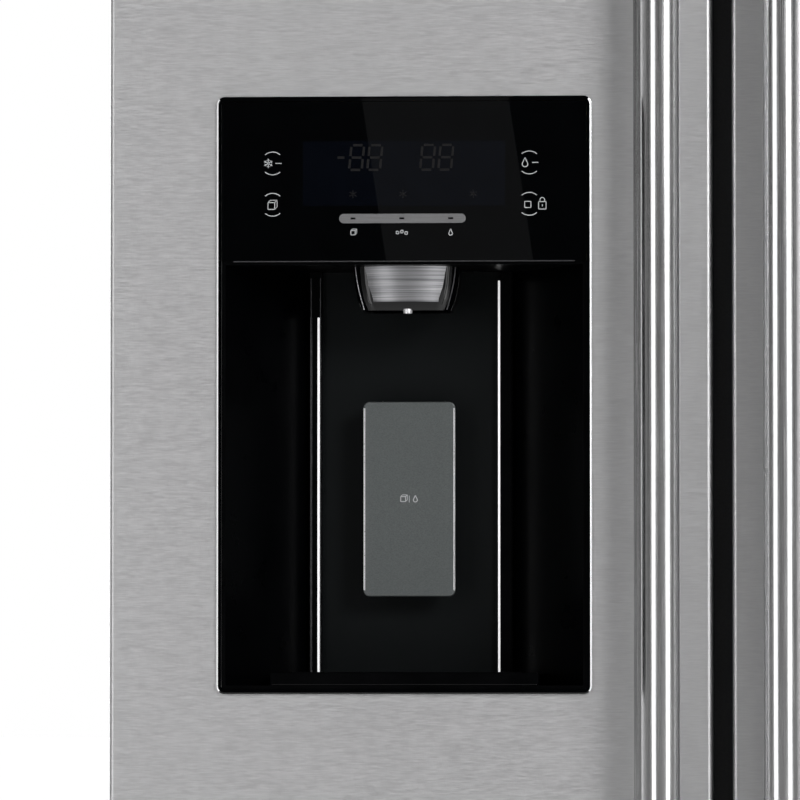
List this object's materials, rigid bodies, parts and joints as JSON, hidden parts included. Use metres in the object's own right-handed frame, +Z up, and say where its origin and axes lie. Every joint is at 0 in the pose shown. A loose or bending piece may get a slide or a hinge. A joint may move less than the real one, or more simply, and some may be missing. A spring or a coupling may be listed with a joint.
{
  "type": "side by side refrigerator",
  "caption": "Tall steel refrigerator with a freezer door and a fridge door side by side, long vertical handles, and an ice and water dispenser in the freezer door.",
  "frame": {"origin": "on the floor, at the middle of the whole object's width and depth", "axes": "+Z up, front of the doors faces -Y, +X to the right seen from the front"},
  "size_m": [0.895, 0.72, 1.78],
  "materials": {
    "brushed_steel": "satin",
    "painted_steel": "satin",
    "zinc_steel": "satin",
    "hinge_steel": "satin",
    "black_satin": "satin",
    "black_gloss": "gloss",
    "dark_matte": "matte",
    "bezel_metal": "polished",
    "paddle_grey": "satin",
    "white_liner": "satin",
    "white_plastic": "satin",
    "insulation": "matte",
    "gasket_rubber": "matte",
    "clear_plastic": "gloss",
    "shelf_glass": "gloss",
    "foot_plastic": "satin",
    "grey_plastic": "satin",
    "compressor_black": "satin",
    "fin_aluminium": "satin",
    "green_board": "satin",
    "valve_brass": "satin"
  },
  "bodies": {
    "root": {"cabinet_wrap": "painted_steel", "front_frame": "black_satin", "back_panel": "zinc_steel", "base_pan": "zinc_steel", "cabinet_insulation": "insulation", "freezer_liner": "white_liner", "fridge_liner": "white_liner", "upper_hinges": "hinge_steel", "lower_hinges": "hinge_steel", "hinge_covers": "grey_plastic", "hinge_bolts": "zinc_steel", "compressor": "compressor_black", "condenser": "compressor_black", "drain_pan": "black_satin", "machine_room_cover": "zinc_steel", "water_valve": "valve_brass", "power_inlet": "black_satin", "evaporator": "fin_aluminium", "evaporator_cover": "white_plastic", "fridge_air_duct": "white_plastic", "freezer_shelves": "white_plastic", "fridge_shelves": "shelf_glass", "ice_maker": "white_plastic", "ice_bucket": "clear_plastic", "lamp_lenses": "white_plastic"},
    "freezer_door": {"freezer_door_skin": "brushed_steel", "freezer_door_caps": "grey_plastic", "freezer_door_foam": "insulation", "freezer_door_liner": "white_liner", "freezer_door_gasket": "gasket_rubber", "freezer_handle": "brushed_steel", "freezer_door_bins": "clear_plastic", "dispenser_bezel": "bezel_metal", "control_glass": "black_gloss", "control_board": "green_board", "dispenser_housing": "black_gloss", "dispenser_back_plate": "dark_matte", "dispenser_spout": "brushed_steel", "drip_tray": "dark_matte", "ice_duct": "white_plastic"},
    "fridge_door": {"fridge_door_skin": "brushed_steel", "fridge_door_caps": "grey_plastic", "fridge_door_foam": "insulation", "fridge_door_liner": "white_liner", "fridge_door_gasket": "gasket_rubber", "fridge_handle": "brushed_steel", "fridge_door_bins": "clear_plastic"},
    "paddle": {"dispenser_paddle": "paddle_grey"},
    "flap": {"ice_flap": "black_satin"},
    "lower_freezer_drawer": {"freezer_drawer_lower": "clear_plastic"},
    "upper_freezer_drawer": {"freezer_drawer_upper": "clear_plastic"},
    "lower_crisper": {"crisper_lower": "clear_plastic"},
    "upper_crisper": {"crisper_upper": "clear_plastic"},
    "left_foot": {"foot_left": "foot_plastic"},
    "right_foot": {"foot_right": "foot_plastic"},
    "left_roller": {"roller_left": "black_satin"},
    "right_roller": {"roller_right": "black_satin"},
    "condenser_fan_rotor": {"condenser_fan": "black_satin"},
    "evaporator_fan_rotor": {"evaporator_fan": "grey_plastic"},
    "auger": {"ice_auger": "grey_plastic"}
  },
  "joints": [
    {"name": "freezer_door_hinge", "type": "hinge", "parent": "root", "child": "freezer_door", "pos_m": [-0.4275, -0.28, 0.0255], "axis": [0, 0, -1], "range_deg": [0, 115]},
    {"name": "fridge_door_hinge", "type": "hinge", "parent": "root", "child": "fridge_door", "pos_m": [0.4275, -0.28, 0.0255], "axis": [0, 0, 1], "range_deg": [0, 115]},
    {"name": "lower_freezer_drawer_slide", "type": "slide", "parent": "root", "child": "lower_freezer_drawer", "axis": [0, -1, 0], "range_m": [0, 0.18]},
    {"name": "upper_freezer_drawer_slide", "type": "slide", "parent": "root", "child": "upper_freezer_drawer", "axis": [0, -1, 0], "range_m": [0, 0.18]},
    {"name": "lower_crisper_slide", "type": "slide", "parent": "root", "child": "lower_crisper", "axis": [0, -1, 0], "range_m": [0, 0.18]},
    {"name": "upper_crisper_slide", "type": "slide", "parent": "root", "child": "upper_crisper", "axis": [0, -1, 0], "range_m": [0, 0.18]},
    {"name": "paddle_pivot", "type": "hinge", "parent": "freezer_door", "child": "paddle", "pos_m": [-0.2563, -0.236, 1.0763], "axis": [1, 0, 0], "range_deg": [0, 6.5], "stiffness_Nm_per_rad": 2},
    {"name": "flap_pivot", "type": "hinge", "parent": "freezer_door", "child": "flap", "pos_m": [-0.2563, -0.2515, 1.173], "axis": [1, 0, 0], "range_deg": [0, 52]},
    {"name": "left_foot_turn", "type": "hinge", "parent": "root", "child": "left_foot", "pos_m": [-0.4085, -0.262, 0], "axis": [0, 0, 1], "continuous": true},
    {"name": "right_foot_turn", "type": "hinge", "parent": "root", "child": "right_foot", "pos_m": [0.4085, -0.262, 0], "axis": [0, 0, 1], "continuous": true},
    {"name": "left_roller_axle", "type": "hinge", "parent": "root", "child": "left_roller", "pos_m": [-0.4025, 0.3, 0.018], "axis": [1, 0, 0], "continuous": true},
    {"name": "right_roller_axle", "type": "hinge", "parent": "root", "child": "right_roller", "pos_m": [0.4025, 0.3, 0.018], "axis": [1, 0, 0], "continuous": true},
    {"name": "condenser_fan_spin", "type": "hinge", "parent": "root", "child": "condenser_fan_rotor", "pos_m": [-0.135, 0.242, 0.135], "axis": [1, 0, 0], "continuous": true},
    {"name": "evaporator_fan_spin", "type": "hinge", "parent": "root", "child": "evaporator_fan_rotor", "pos_m": [-0.23325, 0.25, 1.14], "axis": [0, 1, 0], "continuous": true},
    {"name": "auger_spin", "type": "hinge", "parent": "root", "child": "auger", "pos_m": [-0.2563, -0.139, 1.267], "axis": [0, 1, 0], "continuous": true}
  ],
  "couplings": [
    {"joint": "lower_freezer_drawer_slide", "follows": "freezer_door_hinge", "m_per_rad": 0.0895},
    {"joint": "upper_freezer_drawer_slide", "follows": "freezer_door_hinge", "m_per_rad": 0.0895},
    {"joint": "lower_crisper_slide", "follows": "fridge_door_hinge", "m_per_rad": 0.0895},
    {"joint": "upper_crisper_slide", "follows": "fridge_door_hinge", "m_per_rad": 0.0895},
    {"joint": "flap_pivot", "follows": "paddle_pivot", "ratio": 7.9}
  ]
}
